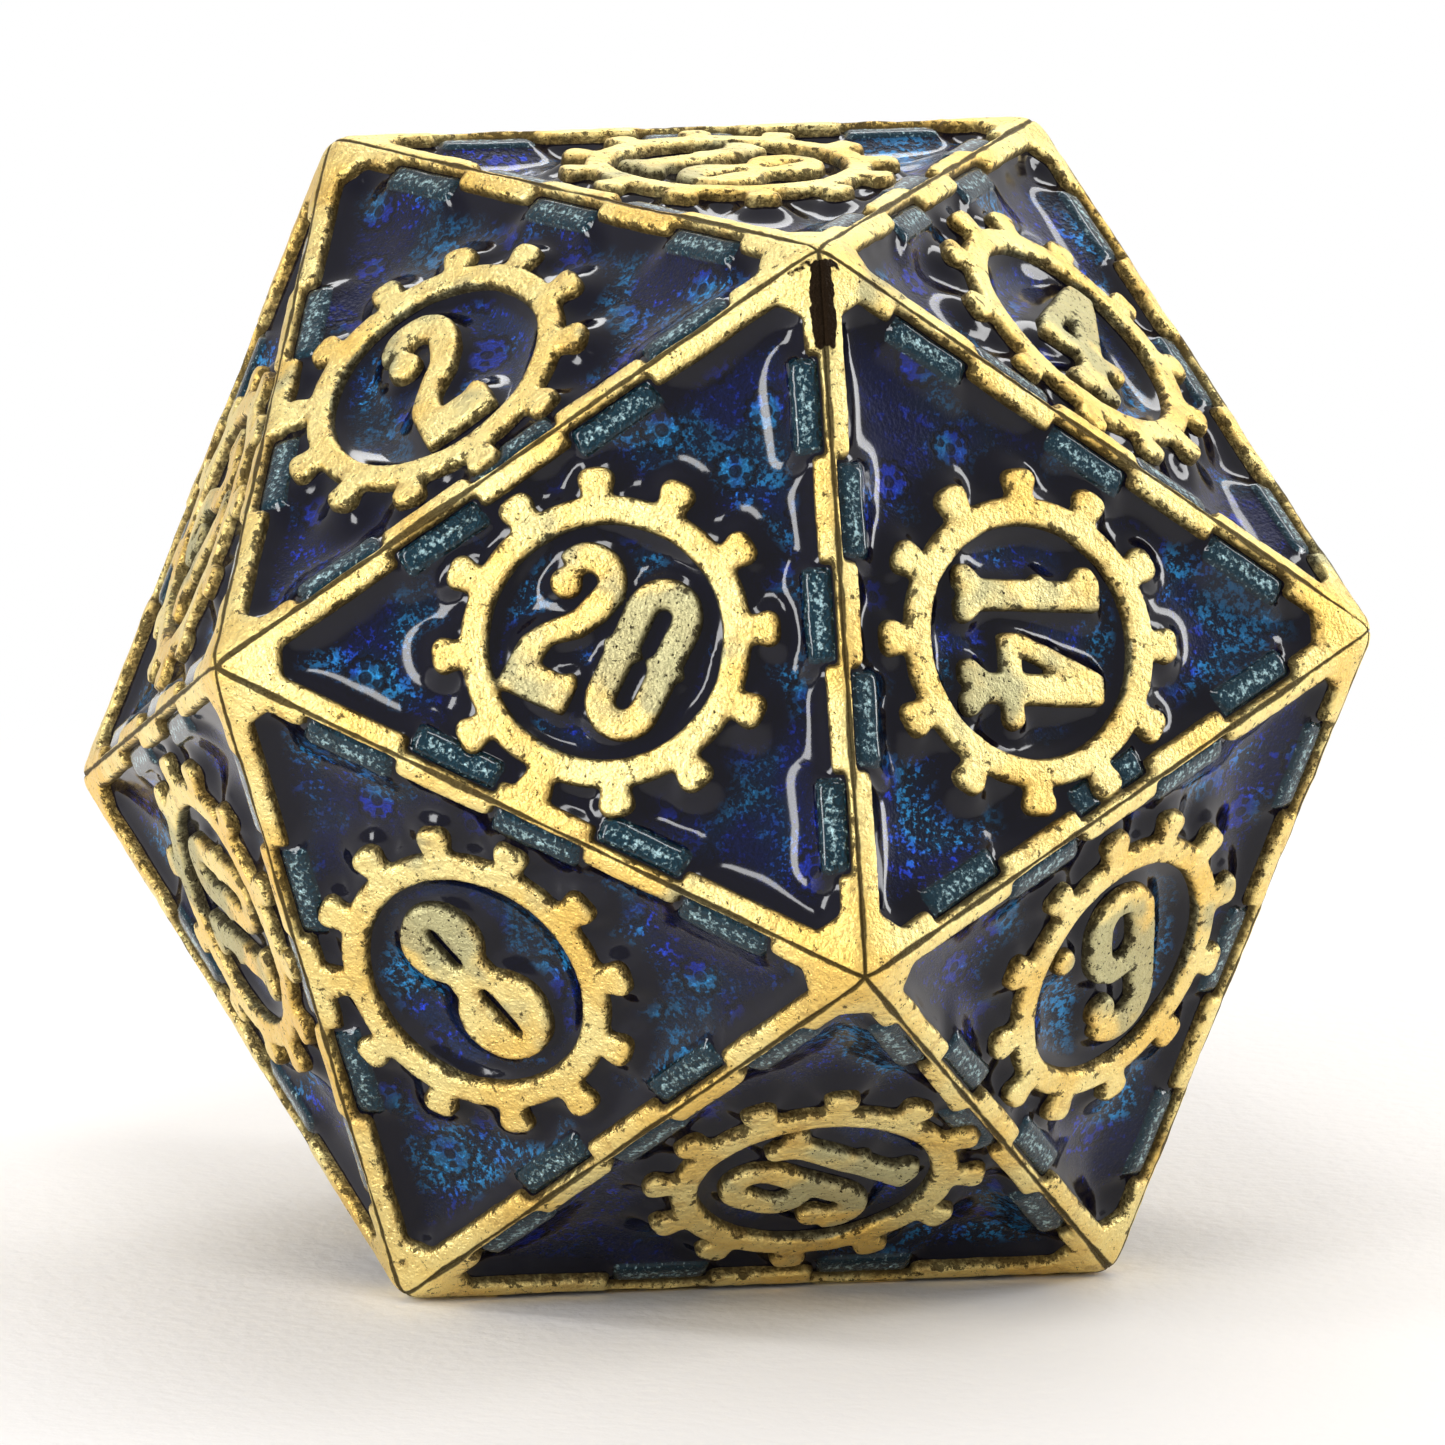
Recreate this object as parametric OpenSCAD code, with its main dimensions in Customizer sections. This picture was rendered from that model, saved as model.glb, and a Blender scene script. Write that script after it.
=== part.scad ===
// Twenty-sided metal die in the steampunk style: one gold plated casting with a gear ring and a
// number on each face, and coloured enamel poured into the pockets around and inside each ring.
// Millimetres. The die rests on its face 3 with the centre of that face at the origin, +Z up.

/* [Die] */
// Distance between opposite faces
face_span = 22; // [14:0.5:36]
// How far each of the twelve points is rounded back, as a share of the edge
point_blunt = 0.010; // [0.004:0.002:0.02]

/* [Relief depths, as shares of the edge] */
// Depth of the enamel pockets below the face
pocket_depth = 0.056; // [0.04:0.002:0.064]
// Depth of the shallow hinge recesses along the ridges
recess_depth = 0.018; // [0.016:0.001:0.019]
// Depth of the top of each hinge plate below the face
plate_depth = 0.013; // [0.011:0.001:0.014]
// Height left free between the enamel and the face
enamel_drop = 0.009; // [0.006:0.001:0.009]

/* [Gear ring, as shares of the edge] */
// Radius of the hole in the ring
ring_hole_r = 0.160; // [0.15:0.002:0.164]
// Radius at the roots of the teeth
ring_root_r = 0.198; // [0.19:0.002:0.204]
// Radius at the tips of the teeth
ring_tip_r = 0.237; // [0.23:0.001:0.244]
// Width of a tooth at its tip
tooth_w = 0.050; // [0.04:0.002:0.054]
// Number of teeth, a multiple of three so that every corner looks the same
tooth_count = 12; // [9:3:15]

/* [Ridge hinges, as shares of the edge] */
// Distance from the ridge to the enamel pocket
border_w = 0.032; // [0.032:0.002:0.042]
// How much is cut off each corner of the pocket
corner_cut = 0.034; // [0.01:0.002:0.05]
// Width of the thin gold rim that stands between the ridge and a hinge recess
rim_w = 0.009; // [0.009:0.001:0.012]
// Gap between the ends of a hinge plate and the knuckles beside it
plate_gap = 0.008; // [0.005:0.001:0.009]
// Distance from the ridge to the outer side of a hinge plate
plate_low = 0.015; // [0.015:0.001:0.02]
// Distance from the ridge to the inner side of a hinge plate
plate_reach = 0.056; // [0.05:0.002:0.06]
// Length of each of the five hinge segments
segment_len = 0.142; // [0.136:0.002:0.148]

/* [Numbers, as shares of the edge] */
// Height of a number of one digit
single_digit_h = 0.262; // [0.23:0.002:0.27]
// Height of a number of two digits
double_digit_h = 0.232; // [0.2:0.002:0.234]
// Gap between two digits, as a share of their height
digit_gap = 0.05; // [0.03:0.01:0.06]

/* [Hidden] */
$fn = 48;
FACE_NAMES = [for (n = [1 : 20]) n < 10 ? str("0", n) : str(n)];

// An icosahedron standing on a face is four rings of three points.
golden = (1 + sqrt(5)) / 2;
edge = face_span * sqrt(3) / golden^2;
small_r = edge / sqrt(3);
large_r = golden * small_r;
outer_z = face_span / 2;
inner_z = outer_z / golden^3;
tip_r = norm([small_r, outer_z]);
centre = [0, 0, outer_z];

function ring(r, z, start) = [for (k = [0 : 2]) [r * cos(start + 120 * k), r * sin(start + 120 * k), z]];

// Points 0-2 are the top ring, 3-5 the upper ring, 6-8 the lower ring and 9-11 the bottom ring.
POINTS = concat(
    ring(small_r, face_span, -90),
    ring(large_r, outer_z + inner_z, 90),
    ring(large_r, outer_z - inner_z, -90),
    ring(small_r, 0, 90)
);

// Number, its three points anticlockwise from the one its top points at, and for each side from
// point to point whether it holds three hinge plates (1) or the two that lie between them (0).
// Last comes where the gear ring sits: the mould has most rings a little off the middle.
FRONT_FACES = [
    [20, [0, 4, 6], [0, 0, 1], [-0.027, -0.028]],
    [14, [5, 0, 6], [1, 0, 1], [0.031, 0.014]],
    [2, [2, 4, 0], [0, 1, 1], [-0.04, -0.022]],
    [8, [4, 10, 6], [0, 0, 1], [-0.025, 0.015]],
    [6, [11, 5, 6], [1, 0, 0], [0.005, 0.01]],
    [16, [11, 6, 10], [1, 1, 0], [-0.015, 0.025]],
    [18, [1, 2, 0], [1, 0, 1], [-0.01, 0.01]],
    [4, [1, 0, 5], [0, 0, 1], [0, -0.01]],
    [12, [8, 4, 2], [1, 1, 0], [0, 0]],
    [10, [8, 10, 4], [0, 1, 0], [0, 0]]
];

// The point straight through the centre, and the face there: opposite numbers add up to 21.
function opposite(p) = p < 3 ? p + 9 : p < 6 ? p + 3 : p < 9 ? p - 3 : p - 9;
function opposite_face(f) = [
    21 - f[0],
    [opposite(f[1][0]), opposite(f[1][2]), opposite(f[1][1])],
    [f[2][2], f[2][1], f[2][0]],
    [0, 0]
];
FACES = concat(FRONT_FACES, [for (f = FRONT_FACES) opposite_face(f)]);

function unit(v) = v / norm(v);
function middle(p) = (POINTS[p[0]] + POINTS[p[1]] + POINTS[p[2]]) / 3;
function face_of(n) = [for (f = FACES) if (f[0] == n) f][0];

// Puts a drawing made in the XY plane on a face, with Y towards the point its number reads up to
// and Z straight out of the face.
module on_face(f) {
    m = middle(f[1]);
    out = unit(m - centre);
    up = unit(POINTS[f[1][0]] - m);
    right = cross(up, out);
    multmatrix([
        [right.x, up.x, out.x, m.x],
        [right.y, up.y, out.y, m.y],
        [right.z, up.z, out.z, m.z],
        [0, 0, 0, 1]
    ]) children();
}

// A slab of a flat shape between two depths below the face, both given as shares of the edge.
module slab(from_depth, to_depth) {
    translate([0, 0, -from_depth * edge])
        linear_extrude((from_depth - to_depth) * edge)
            scale(edge)
                children();
}

/* Outlines on one face, drawn for an edge of 1 with the middle of the face at the origin. */

above = 0.05; // how far a cut runs clear of the face
side_dist = 1 / (2 * sqrt(3)); // from the middle of a face to each side

// The middles of the hinge plates along a side, counted from the middle of that side.
function plate_places(three) = three ? [-2, 0, 2] * segment_len : [-1, 1] * segment_len;

// Repeats a drawing on each side of a face, with the side along X and the face above it.
module per_side(f) {
    for (k = [0 : 2])
        rotate(120 * (k - 1))
            translate([0, -side_dist])
                for (x = plate_places(f[2][k] == 1))
                    translate([x, 0])
                        children();
}

// A recess runs a little way into the pocket, so that no sliver of metal is left between them.
module recess_outline() {
    overlap = 0.002;
    translate([-segment_len / 2, rim_w])
        square([segment_len, border_w + overlap - rim_w]);
}

module plate_outline() {
    half = segment_len / 2 - plate_gap;
    flare = 0.004; // the plates are slightly wider on their inner side
    polygon([[-half, plate_low], [half, plate_low],
             [half + flare, plate_reach], [-half - flare, plate_reach]]);
}

// The triangle inside the borders, with its corners cut off.
module field_triangle() {
    tip_dist = 2 * (side_dist - border_w);
    along = corner_cut / cos(30);
    polygon([
        for (turn = [90, 210, 330])
            for (s = [30, -30])
                tip_dist * [cos(turn), sin(turn)] - along * [cos(turn + s), sin(turn + s)]
    ]);
}

// The outside of the gear ring. The teeth widen from root to tip and have rounded corners.
module gear_outline() {
    root_w = tooth_w * 0.74;
    corner_r = tooth_w * 0.32;
    shoulder = ring_tip_r - corner_r;
    circle(ring_root_r);
    for (k = [0 : tooth_count - 1])
        rotate(90 + k * 360 / tooth_count) {
            polygon([[0, -root_w / 2], [ring_root_r, -root_w / 2], [shoulder, -tooth_w / 2],
                     [shoulder, tooth_w / 2], [ring_root_r, root_w / 2], [0, root_w / 2]]);
            translate([shoulder - corner_r, corner_r - tooth_w / 2])
                square([2 * corner_r, tooth_w - 2 * corner_r]);
            for (s = [-1, 1])
                translate([shoulder, s * (tooth_w / 2 - corner_r)])
                    circle(corner_r);
        }
}

/* Digits in a slab style, each drawn one unit high around its own centre. */

stem = 0.18; // width of a main stroke
foot_h = 0.13; // height of a foot
ball_r = 0.095; // the round end of a curved stroke
slit_w = 0.1; // width of the slit inside a round digit

DIGIT_W = [0.45, 0.35, 0.44, 0.5, 0.5, 0.5, 0.5, 0.46, 0.52, 0.5];

// An upright shape with round ends.
module pill(w, h) {
    square([w, h - w], center = true);
    for (s = [-1, 1])
        translate([0, s * (h - w) / 2])
            circle(w / 2);
}

// Part of a round band, from one angle to another less than 360 degrees on.
module band(r, w, from, to) {
    reach = 2 * r;
    steps = ceil((to - from) / 60);
    intersection() {
        difference() {
            circle(r);
            circle(r - w);
        }
        polygon(concat([[0, 0]], [
            for (k = [0 : steps])
                let (turn = from + k * (to - from) / steps)
                    reach * [cos(turn), sin(turn)]
        ]));
    }
}

// A foot that spreads from the stem and is notched in the middle of its sole.
module foot(w) {
    cut = 0.04;
    difference() {
        polygon([[cut - w / 2, 0], [w / 2 - cut, 0], [w / 2, cut], [w / 2, foot_h * 0.7],
                 [stem / 2, foot_h * 1.4], [-stem / 2, foot_h * 1.4],
                 [-w / 2, foot_h * 0.7], [-w / 2, cut]]);
        circle(0.035);
    }
}

module digit_0() {
    nub_r = 0.035;
    difference() {
        union() {
            pill(DIGIT_W[0], 1);
            for (s = [-1, 1])
                translate([s * DIGIT_W[0] / 2, 0])
                    circle(nub_r);
        }
        difference() {
            pill(slit_w, 0.64);
            for (s = [-1, 1])
                translate([s * slit_w / 2, 0])
                    circle(nub_r);
        }
    }
}

module digit_1() {
    w = DIGIT_W[1];
    translate([-stem / 2, -0.45])
        square([stem, 0.95]);
    translate([0, -0.5])
        foot(w);
    polygon([[0, 0.5], [-stem / 2, 0.5], [-w / 2, 0.44], [-w / 2, 0.36], [-stem / 2, 0.3], [0, 0.3]]);
    translate([-stem / 2, 0.08])
        circle(0.04);
}

module digit_2() {
    bowl_r = 0.23;
    translate([0, 0.5 - bowl_r])
        band(bowl_r, 0.17, -25, 165);
    translate([0.02 - bowl_r + ball_r, 0.21])
        circle(ball_r);
    // the neck
    polygon([[0.23, 0.27], [0.2, 0.12], [0.11, -0.03], [-0.03, -0.15], [-0.05, -0.3],
             [-0.22, -0.3], [-0.21, -0.18], [-0.14, -0.07], [0, 0.08], [0.06, 0.27]]);
    // the foot, turned up at its right end
    polygon([[-0.22, -0.5], [0.21, -0.5], [0.21, -0.3], [0.17, -0.23], [0.1, -0.28], [-0.22, -0.28]]);
}

module digit_3() {
    upper_r = 0.23;
    lower_r = 0.26;
    stroke = 0.17;
    translate([0, 0.5 - upper_r])
        band(upper_r, stroke, -90, 165);
    translate([0, lower_r - 0.5])
        band(lower_r, stroke, -165, 90);
    translate([ball_r - upper_r, 0.22])
        circle(ball_r);
    translate([ball_r - lower_r, -0.2])
        circle(ball_r);
    translate([-0.09, -0.06])
        square([0.16, 0.14]);
}

module digit_4() {
    w = DIGIT_W[4];
    stem_x = 0.08;
    bar_y = -0.14;
    difference() {
        polygon([[stem_x + stem / 2, 0.5], [stem_x - stem / 2, 0.5], [-w / 2, bar_y + 0.08],
                 [-w / 2, bar_y - 0.07], [stem_x + stem / 2, bar_y - 0.07]]);
        polygon([[stem_x - stem / 2, 0.2], [-0.115, bar_y + 0.07], [stem_x - stem / 2, bar_y + 0.07]]);
    }
    translate([stem_x - stem / 2, -0.45])
        square([stem, 0.95]);
    translate([stem_x, -0.5])
        foot(0.34);
    translate([-w / 2, bar_y - 0.07])
        square([w, foot_h]);
    translate([w / 2, bar_y])
        circle(0.07);
}

module digit_5() {
    bowl_r = 0.27;
    translate([-0.19, 0.34])
        square([0.37, 0.16]);
    translate([0.15, 0.36])
        circle(0.06);
    translate([-0.19, -0.04])
        square([0.14, 0.54]);
    translate([0, bowl_r - 0.5])
        band(bowl_r, stem, -165, 120);
    translate([ball_r - bowl_r, bowl_r - 0.54])
        circle(ball_r);
}

module digit_6() {
    w = DIGIT_W[6];
    bowl_h = 0.6;
    translate([0, (bowl_h - 1) / 2])
        difference() {
            pill(w, bowl_h);
            pill(slit_w * 1.4, 0.28);
        }
    translate([-w / 2, -0.25])
        square([stem, 0.5]);
    translate([0, 0.5 - w / 2])
        band(w / 2, stem, 25, 180);
    translate([w / 2 - ball_r - 0.02, 0.25])
        circle(ball_r);
}

module digit_7() {
    w = DIGIT_W[7];
    polygon([[-w / 2, 0.5], [w / 2, 0.5], [w / 2, 0.34], [0.06, 0], [0.04, -0.4],
             [-0.14, -0.4], [-0.1, 0.04], [0.05, 0.33], [-w / 2, 0.33]]);
    translate([0.055 - w / 2, 0.3])
        circle(0.06);
    translate([-0.05, -0.5])
        foot(0.34);
}

module digit_8() {
    upper_r = 0.236;
    lower_r = 0.264;
    difference() {
        union() {
            translate([0, 0.5 - upper_r])
                circle(upper_r);
            translate([0, lower_r - 0.5])
                circle(lower_r);
            square([0.29, 0.13], center = true);
        }
        translate([0, 0.23])
            pill(slit_w * 0.6, 0.28);
        translate([0, -0.21])
            pill(slit_w * 0.6, 0.32);
    }
}

module digit(d) {
    if (d == 0) digit_0();
    if (d == 1) digit_1();
    if (d == 2) digit_2();
    if (d == 3) digit_3();
    if (d == 4) digit_4();
    if (d == 5) digit_5();
    if (d == 6) digit_6();
    if (d == 7) digit_7();
    if (d == 8) digit_8();
    if (d == 9) rotate(180) digit_6();
}

// The whole number of a face. A dot at the foot tells 6 from 9.
module number_outline(n) {
    dotted = n == 6 || n == 9;
    if (n < 10)
        scale(single_digit_h) {
            translate([dotted ? -0.04 : 0, 0])
                digit(n);
            if (dotted)
                translate([0.38, -0.27])
                    circle(0.075);
        }
    else {
        tens = floor(n / 10);
        ones = n % 10;
        width = DIGIT_W[tens] + digit_gap + DIGIT_W[ones];
        scale(double_digit_h) {
            translate([(DIGIT_W[tens] - width) / 2, 0])
                digit(tens);
            translate([(width - DIGIT_W[ones]) / 2, 0])
                digit(ones);
        }
    }
}

/* Flat shapes that the casting and the enamel share, so that they meet without a gap. */

module plates_outline(f) {
    difference() {
        per_side(f) plate_outline();
        translate(f[3]) gear_outline();
    }
}

module field_outline(f) {
    difference() {
        field_triangle();
        translate(f[3]) gear_outline();
        per_side(f) plate_outline();
    }
}

module gap_outline(f) {
    difference() {
        per_side(f) recess_outline();
        per_side(f) plate_outline();
        field_triangle();
        translate(f[3]) gear_outline();
    }
}

module hub_outline(f) {
    translate(f[3])
        difference() {
            circle(ring_hole_r);
            number_outline(f[0]);
        }
}

/* Sub-parts */

module die_casting() {
    color("goldenrod")
        difference() {
            intersection() {
                polyhedron(POINTS, [for (f = FACES) [f[1][2], f[1][1], f[1][0]]]);
                translate(centre)
                    sphere(tip_r - point_blunt * edge);
            }
            for (f = FACES)
                on_face(f) {
                    slab(pocket_depth, -above) field_outline(f);
                    slab(recess_depth, -above) gap_outline(f);
                    slab(plate_depth, -above) plates_outline(f);
                    slab(pocket_depth, -above) hub_outline(f);
                }
        }
}

// The enamel around a gear ring, with its thin skin over the hinge plates.
module field_enamel(n) {
    f = face_of(n);
    color("midnightblue")
        on_face(f) {
            slab(pocket_depth, enamel_drop) field_outline(f);
            slab(recess_depth, enamel_drop) gap_outline(f);
            slab(plate_depth, enamel_drop) plates_outline(f);
        }
}

// The enamel inside a gear ring, around the number and in its closed loops.
module hub_enamel(n) {
    f = face_of(n);
    color("darkblue")
        on_face(f)
            slab(pocket_depth, enamel_drop)
                hub_outline(f);
}

die_casting();
for (n = [1 : 20]) {
    field_enamel(n);
    hub_enamel(n);
}
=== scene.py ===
"""The looks of a gold plated, enamelled, twenty-sided die, built around its CAD frame.

The casting and the forty enamel pools are rebuilt as fine meshes. Every outline is read from the
CAD casting, so a number or a gear ring is drawn in one place only. Each face of the die is worked
on flat, in its own axes, with the edge of the die as the unit of length.
"""
from itertools import combinations, product

import bpy
import numpy as np
from mathutils import Matrix, Vector


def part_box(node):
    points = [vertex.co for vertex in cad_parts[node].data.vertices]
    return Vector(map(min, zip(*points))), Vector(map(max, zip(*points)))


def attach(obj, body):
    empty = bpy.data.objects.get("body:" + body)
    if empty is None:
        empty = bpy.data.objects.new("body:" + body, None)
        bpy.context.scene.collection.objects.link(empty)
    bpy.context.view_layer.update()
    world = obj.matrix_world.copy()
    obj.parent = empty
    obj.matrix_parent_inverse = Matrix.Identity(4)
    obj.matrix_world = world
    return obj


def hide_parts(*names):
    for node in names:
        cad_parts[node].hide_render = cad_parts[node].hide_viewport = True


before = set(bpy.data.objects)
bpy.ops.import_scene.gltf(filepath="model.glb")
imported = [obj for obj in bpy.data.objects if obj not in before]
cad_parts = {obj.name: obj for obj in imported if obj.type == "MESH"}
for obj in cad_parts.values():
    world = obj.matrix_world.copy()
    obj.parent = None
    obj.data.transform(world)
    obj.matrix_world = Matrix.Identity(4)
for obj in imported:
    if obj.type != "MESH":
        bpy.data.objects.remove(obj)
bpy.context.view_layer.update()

# ---------------------------------------------------------------- sizes
GOLDEN = (1 + 5**0.5) / 2
DIE_LOW, DIE_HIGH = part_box("die_casting")
SPAN = DIE_HIGH.z - DIE_LOW.z  # between opposite faces, in metres
EDGE = SPAN * 3**0.5 / GOLDEN**2

# All of these are shares of the edge.
INRADIUS = SPAN / 2 / EDGE
SIDE_DIST = 1 / (2 * 3**0.5)  # from the middle of a face to each side
CORNER_DIST = 1 / 3**0.5  # from the middle of a face to each corner
RING_MIDDLE_R = 0.180  # in the middle of the gear ring, between hub and field
BORDER = 0.032  # width of the shallow strip along each side
BORDER_STEP = (BORDER - 0.002, BORDER + 0.004)  # the floor sinks between these two lines
POINTS_DIST = 0.55  # only the points of the die are further out than this
DIGIT_R = RING_MIDDLE_R * 0.9  # only the digits lie nearer to the middle of the ring
RIDGE_R = 0.048  # radius of the rounded ridges and points
LIP = 0.008  # radius of the rounded rim of every raised shape
DRAFT = 0.005  # how far a wall leans out from its rim to its foot
PLATE_LIP = 0.010  # radius of the rounded rim of a hinge plate
CREASE_W = 0.0065  # half the width of the crease along each ridge
CREASE = 0.0045  # its depth
WOBBLE = 0.0022  # how far the cast outlines stray
SWELLS = ((0.0012, 22), (0.0006, 75))  # unevenness of the metal: heights, and counts per edge
WAVES = ((0.0011, 13), (0.0005, 34))  # the same for the enamel
WAVE_REACH = 0.012  # how far from a wall the waves grow to their full height
ENAMEL_DROP = 0.015  # how far below the face the enamel meets a wall
ENAMEL_SAG = 0.030  # how much lower it lies in the middle of a pool
SAG_REACH = 0.030  # how far from a wall it sags
SKIN = 0.003  # enamel over a hinge plate
POOL_SINK = 0.002  # how far the bottom of a pool lies in the metal

GRID_STEPS = 96  # mesh points along one edge of the die, before the mesh is made finer
FINE_REACH = 0.011  # the mesh is finer this near to an outline
CLOSE = 0.0012  # points this near to an outline are moved onto it
SAME = 1e-9  # distances below this are rounding errors
SHARP_ANGLE = np.radians(50)  # sharper bends in the surface of a pool are shaded as edges


# ---------------------------------------------------------------- the twenty faces
def die_points():
    """The twelve points of an icosahedron that stands on a face, as four rings of three."""

    def ring(radius, height, start):
        turn = np.radians(start + 120 * np.arange(3))
        return np.column_stack([radius * np.cos(turn), radius * np.sin(turn), np.full(3, height)])

    small = EDGE / 3**0.5
    inner = SPAN / 2 / GOLDEN**3
    return np.vstack([
        ring(small, SPAN, -90),
        ring(GOLDEN * small, SPAN / 2 + inner, 90),
        ring(GOLDEN * small, SPAN / 2 - inner, -90),
        ring(small, 0, 90),
    ])


class Face:
    """One triangular side of the die, with its own axes."""

    def __init__(self, points, corners):
        a, b, c = points[list(corners)]
        self.middle = (a + b + c) / 3
        self.out = self.middle - (0, 0, SPAN / 2)
        self.out /= np.linalg.norm(self.out)
        self.up = (a - self.middle) / np.linalg.norm(a - self.middle)
        self.right = np.cross(self.up, self.out)

    def flat(self, place):
        """Places in metres as x, y and height above the face, in edges."""
        return (place - self.middle) @ np.column_stack([self.right, self.up, self.out]) / EDGE

    def world(self, local):
        return self.middle + EDGE * local @ np.vstack([self.right, self.up, self.out])


def die_faces():
    points = die_points()
    faces = []
    for corners in combinations(range(12), 3):
        sides = [np.linalg.norm(points[a] - points[b]) for a, b in combinations(corners, 2)]
        if max(sides) < EDGE * 1.01:
            faces.append(Face(points, corners))
    return faces


# ---------------------------------------------------------------- small helpers
def smooth(low, high, value):
    t = np.clip((value - low) / (high - low), 0, 1)
    return t * t * (3 - 2 * t)


class Noise:
    """Smooth noise between -1 and 1 at places in space. The same seed gives the same noise."""

    cells = 32

    def __init__(self, seed):
        rng = np.random.default_rng(seed)
        self.values = rng.uniform(-1, 1, (self.cells,) * 3)

    def __call__(self, place, scale):
        cell = np.floor(place * scale).astype(int)
        t = place * scale - cell
        t = t * t * (3 - 2 * t)
        total = 0
        for corner in product((0, 1), repeat=3):
            weight = np.where(corner, t, 1 - t).prod(axis=1)
            total = total + weight * self.values[tuple(((cell + corner) % self.cells).T)]
        return total


def softened(grid, passes):
    """Evens out the values on a grid, each with those beside it."""
    for _ in range(passes):
        for axis in (0, 1):
            grid = grid / 2 + (np.roll(grid, 1, axis) + np.roll(grid, -1, axis)) / 4
    return grid


# ---------------------------------------------------------------- outlines from the CAD casting
def side_normals():
    turn = np.radians([150, 270, 30])
    return np.column_stack([np.cos(turn), np.sin(turn)])


class Sides:
    """Distance to the nearest of the three sides of a face, growing inwards."""

    def distance(self, xy):
        return SIDE_DIST - (xy @ side_normals().T).max(axis=1)

    def slope(self, xy):
        return -side_normals()[(xy @ side_normals().T).argmax(axis=1)]


class Outlines:
    """Signed distance to closed outlines on one face, growing inwards, kept on a fine grid."""

    pitch = 0.0025
    band = 0.09  # distances are right up to this, and held at it beyond
    left, low = -0.52, -0.31  # the corner of a grid that covers the whole face
    columns, rows = 417, 365
    least_slope = 0.3  # gentler slopes, as on a crest between two outlines, stay short

    def __init__(self, segments, wobble):
        xs = self.left + self.pitch * np.arange(self.columns)
        ys = self.low + self.pitch * np.arange(self.rows)
        near = np.full((self.rows, self.columns), self.band)
        inside = np.zeros((self.rows, self.columns), bool)
        for a, b in segments:
            c0, c1 = np.searchsorted(xs, (min(a[0], b[0]) - self.band, max(a[0], b[0]) + self.band))
            r0, r1 = np.searchsorted(ys, (min(a[1], b[1]) - self.band, max(a[1], b[1]) + self.band))
            along = b - a
            px = xs[None, c0:c1] - a[0]
            py = ys[r0:r1, None] - a[1]
            t = np.clip((px * along[0] + py * along[1]) / (along @ along), 0, 1)
            away = np.hypot(px - t * along[0], py - t * along[1])
            near[r0:r1, c0:c1] = np.minimum(near[r0:r1, c0:c1], away)
            r0, r1 = np.searchsorted(ys, sorted((a[1], b[1])))
            for row in range(r0, r1):
                crossing = a[0] + (ys[row] - a[1]) * along[0] / along[1]
                inside[row] ^= xs < crossing
        exact = np.where(inside, near, -near)
        grid_xy = np.stack(np.meshgrid(xs, ys), axis=-1).reshape(-1, 2)
        strayed = self.read(exact, grid_xy + wobble(grid_xy)).reshape(exact.shape)
        self.grid = softened(strayed, passes=5)  # this rounds off the corners
        slope_y, slope_x = np.gradient(self.grid, self.pitch)
        self.slopes = np.stack([slope_x, slope_y])

    def read(self, grid, xy):
        """Reads a grid at places between its points."""
        c = np.clip((xy[:, 0] - self.left) / self.pitch, 0, self.columns - 1.001)
        r = np.clip((xy[:, 1] - self.low) / self.pitch, 0, self.rows - 1.001)
        c0, r0 = c.astype(int), r.astype(int)
        tc, tr = c - c0, r - r0
        lower = grid[..., r0, c0] * (1 - tc) + grid[..., r0, c0 + 1] * tc
        upper = grid[..., r0 + 1, c0] * (1 - tc) + grid[..., r0 + 1, c0 + 1] * tc
        return lower * (1 - tr) + upper * tr

    def distance(self, xy):
        return self.read(self.grid, xy)

    def slope(self, xy):
        slope = self.read(self.slopes, xy).T
        return slope / np.maximum(np.linalg.norm(slope, axis=1), self.least_slope)[:, None]


def cad_triangles(node):
    """The corners of a CAD node's triangles, and which point each corner is."""
    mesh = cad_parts[node].data
    mesh.calc_loop_triangles()
    place = np.empty(len(mesh.vertices) * 3)
    mesh.vertices.foreach_get("co", place)
    place = place.reshape(-1, 3)
    _, first, point = np.unique(np.round(place, 7), axis=0, return_index=True, return_inverse=True)
    corner = np.empty(len(mesh.loop_triangles) * 3, int)
    mesh.loop_triangles.foreach_get("vertices", corner)
    return place[first], point.ravel()[corner].reshape(-1, 3)


def sides_of(triangles):
    return np.vstack([triangles[:, [0, 1]], triangles[:, [1, 2]], triangles[:, [2, 0]]])


def open_sides(triangles):
    """The sides that only one of the triangles has, in that triangle's direction."""
    sides = sides_of(triangles)
    _, first, count = np.unique(
        np.sort(sides, axis=1), axis=0, return_index=True, return_counts=True)
    return sides[first[count == 1]]


def face_outlines(face, points, triangles, wobble):
    """The outlines of the pockets and of the hinge plates on a face, and its levels."""
    same_level = 5e-4
    deepest = -0.1  # below the floors of all the pockets
    reach = 0.6  # further out than any point of a face
    flat = face.flat(points)
    corners = flat[triangles]
    level = corners[:, :, 2].mean(axis=1)
    on_face = (np.abs(corners[:, :, :2]).max(axis=(1, 2)) < reach) & (level > deepest)
    on_face &= (level < 2 * same_level) & (np.ptp(corners[:, :, 2], axis=1) < same_level)
    levels, count = np.unique(np.round(level[on_face], 3), return_counts=True)
    levels = np.sort(levels[np.argsort(count)[-4:]])[::-1]  # the rest belong to other faces
    found = []
    for depth in levels[:2]:
        chosen = on_face & (np.abs(level - depth) < same_level)
        sides = flat[open_sides(triangles[chosen])][:, :, :2]
        halfway = sides.mean(axis=1)
        inner = Sides().distance(halfway) > BORDER / 4  # the ridges are not outlines of a pocket
        inner &= np.linalg.norm(halfway, axis=1) < POINTS_DIST
        found.append(Outlines(sides[inner], wobble))
    return found, levels


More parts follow.
